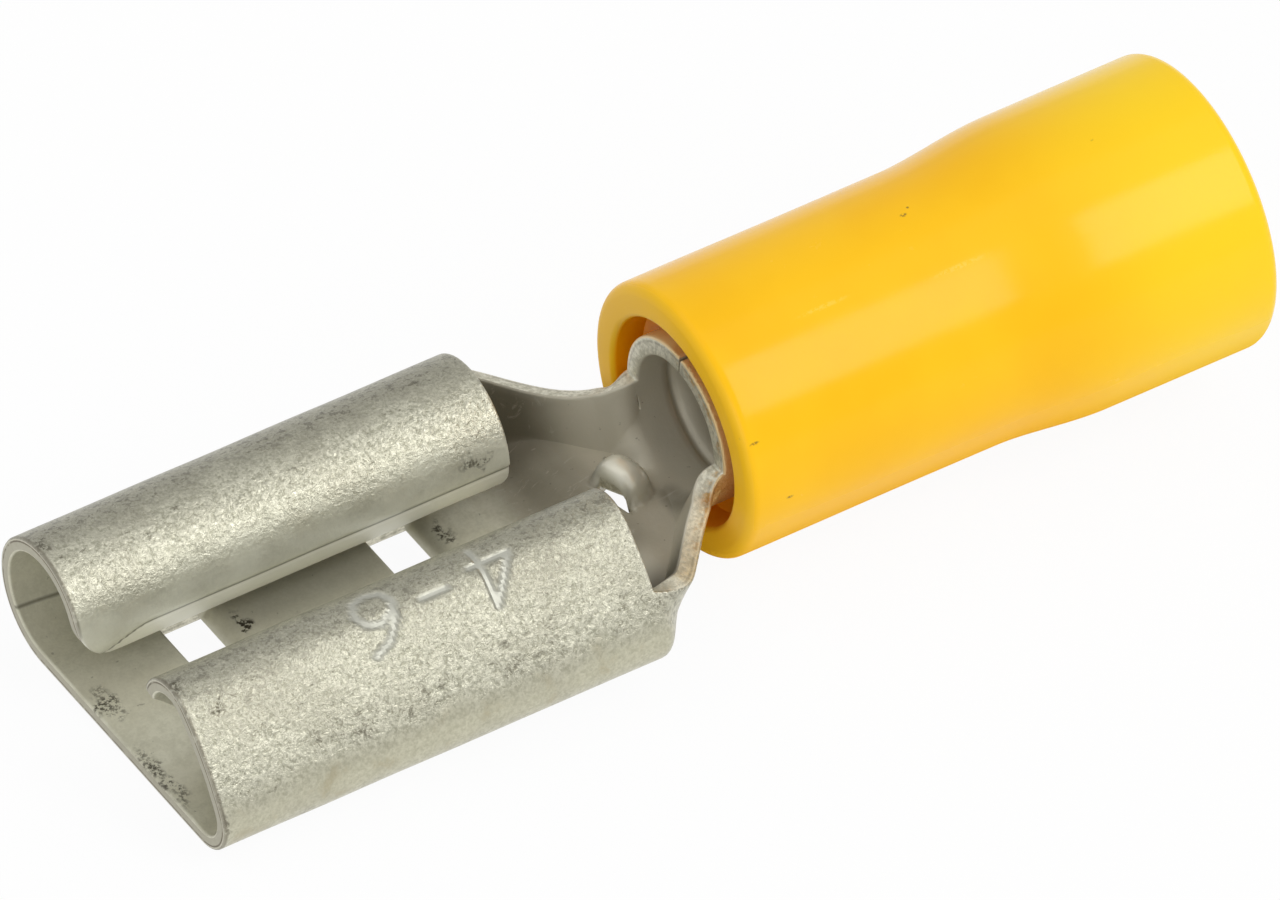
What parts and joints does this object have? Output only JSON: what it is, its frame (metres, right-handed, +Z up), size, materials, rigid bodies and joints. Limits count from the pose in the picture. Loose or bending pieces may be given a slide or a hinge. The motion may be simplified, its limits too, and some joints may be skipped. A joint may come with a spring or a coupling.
{
  "type": "female spade terminal",
  "caption": "Insulated female spade terminal: flat floor with two rolled curls that grip a blade tab, narrowing to a crimp barrel inside a flared yellow sleeve.",
  "frame": {"origin": "middle of the round wire entry at the rear face of the sleeve, on the barrel axis", "axes": "+X along the barrel axis from the mouth towards the wire end, +Z up from the floor of the receptacle to its curls, +Y across it"},
  "size_m": [0.0244, 0.0081, 0.006],
  "materials": {
    "terminal": "satin tin plating with fine mottled grain outside, smoother and greyer inside",
    "sleeve": "opaque glossy yellow vinyl"
  },
  "bodies": {
    "root": {"terminal": "terminal", "sleeve": "sleeve"}
  },
  "joints": []
}
